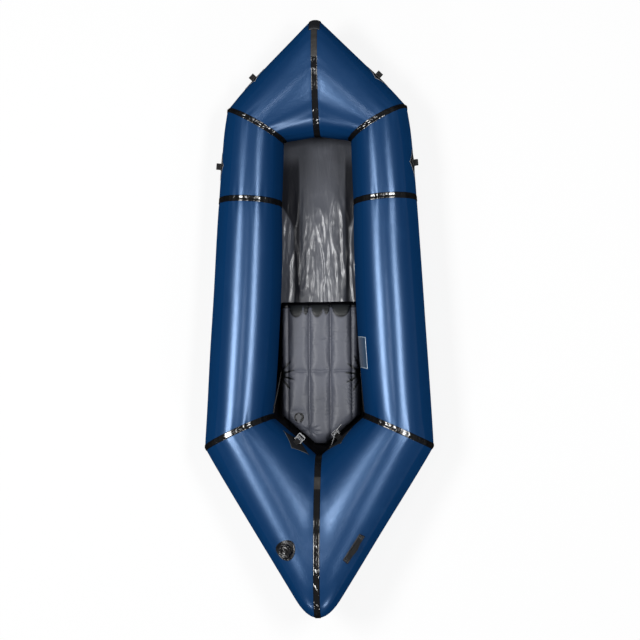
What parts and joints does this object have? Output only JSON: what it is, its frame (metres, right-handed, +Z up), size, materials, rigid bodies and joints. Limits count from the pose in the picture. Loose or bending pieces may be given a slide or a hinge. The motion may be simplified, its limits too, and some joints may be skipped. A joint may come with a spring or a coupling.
{
  "type": "open single-seat packraft",
  "caption": "Open inflatable packraft: a ring-shaped air tube with pointed bow and stern, sheet floor, folding ribbed seat pad, valves, buckles, tie-down loops and grab handle.",
  "frame": {"origin": "under the middle of the raft, on the underside of its floor sheet", "axes": "+Y towards the bow, +X to starboard, +Z up"},
  "size_m": [0.9318, 2.4312, 0.3388],
  "materials": {
    "tube_fabric": "satin coated nylon, navy",
    "seam_tape": "glossy coated tape, black",
    "floor_fabric": "semi-gloss coated nylon, charcoal",
    "seat_fabric": "satin coated nylon, charcoal",
    "patch_fabric": "matte coated patch, near black",
    "webbing": "woven webbing, black",
    "valve_plastic": "glossy moulded plastic, black",
    "buckle_plastic": "semi-gloss moulded plastic, black",
    "seal_rubber": "matte rubber, black",
    "spring_steel": "bright drawn wire"
  },
  "bodies": {
    "hull": {"aft_panel_port": "tube_fabric", "aft_panel_starboard": "tube_fabric", "anchor_patch_port": "patch_fabric", "anchor_patch_starboard": "patch_fabric", "anchor_tail": "webbing", "anchor_webbing_port": "webbing", "anchor_webbing_starboard": "webbing", "bow_centre_tape": "seam_tape", "bow_panel_port": "tube_fabric", "bow_panel_starboard": "tube_fabric", "bow_shoulder_tape_port": "seam_tape", "bow_shoulder_tape_starboard": "seam_tape", "bow_tie_down_port_loop": "webbing", "bow_tie_down_port_patch": "patch_fabric", "bow_tie_down_starboard_loop": "webbing", "bow_tie_down_starboard_patch": "patch_fabric", "bow_tip_patch": "patch_fabric", "floor_sheet": "floor_fabric", "fore_panel_port": "tube_fabric", "fore_panel_starboard": "tube_fabric", "grab_handle": "webbing", "handle_patch": "patch_fabric", "main_valve_body": "valve_plastic", "main_valve_flange": "valve_plastic", "main_valve_nut": "valve_plastic", "main_valve_spring": "spring_steel", "seat_cushion": "seat_fabric", "seat_fold": "seat_fabric", "side_seam_tape_port": "seam_tape", "side_seam_tape_starboard": "seam_tape", "side_strap_port": "webbing", "side_strap_starboard": "webbing", "side_tie_down_port_loop": "webbing", "side_tie_down_port_patch": "patch_fabric", "side_tie_down_starboard_loop": "webbing", "side_tie_down_starboard_patch": "patch_fabric", "stern_centre_tape": "seam_tape", "stern_panel_port": "tube_fabric", "stern_panel_starboard": "tube_fabric", "stern_shoulder_tape_port": "seam_tape", "stern_shoulder_tape_starboard": "seam_tape", "strap_tab_port": "seat_fabric", "strap_tab_starboard": "seat_fabric"},
    "backrest_body": {"backrest": "seat_fabric", "seat_valve_base": "valve_plastic"},
    "seat_cap_body": {"seat_valve_cap": "valve_plastic"},
    "main_cap_body": {"main_valve_cap": "valve_plastic"},
    "plunger_body": {"main_valve_plunger": "valve_plastic", "main_valve_seal": "seal_rubber"},
    "buckle_port_body": {"ladder_lock_port": "buckle_plastic"},
    "buckle_starboard_body": {"ladder_lock_starboard": "buckle_plastic"}
  },
  "joints": [
    {"name": "backrest_fold", "type": "hinge", "parent": "hull", "child": "backrest_body", "pos_m": [0, -0.2235, 0.0015], "axis": [-1, 0, 0], "range_deg": [0, 65], "deforming": ["seat_fold"]},
    {"name": "seat_cap_flip", "type": "hinge", "parent": "backrest_body", "child": "seat_cap_body", "pos_m": [-0.087, -0.3988, 0.0877], "axis": [-1, 0, 0], "range_deg": [0, 150]},
    {"name": "main_cap_turn", "type": "hinge", "parent": "hull", "child": "main_cap_body", "pos_m": [-0.12021, -0.94672, 0.31382], "axis": [-0.259, -0.0634, 0.9638], "range_deg": [0, 90]},
    {"name": "main_valve_press", "type": "slide", "parent": "hull", "child": "plunger_body", "axis": [0.259, 0.0634, -0.9638], "range_m": [0, 0.005], "stiffness_N_per_m": 300, "springref_m": -0.002, "deforming": ["main_valve_spring"]},
    {"name": "buckle_port_tilt", "type": "hinge", "parent": "hull", "child": "buckle_port_body", "pos_m": [-0.08082, -0.51174, 0.20184], "axis": [0.7271, -0.6843, -0.0548], "range_deg": [-60, 60]},
    {"name": "buckle_starboard_tilt", "type": "hinge", "parent": "hull", "child": "buckle_starboard_body", "pos_m": [0.07108, -0.48829, 0.15014], "axis": [0.7497, 0.6583, 0.0676], "range_deg": [-10, 60]}
  ]
}
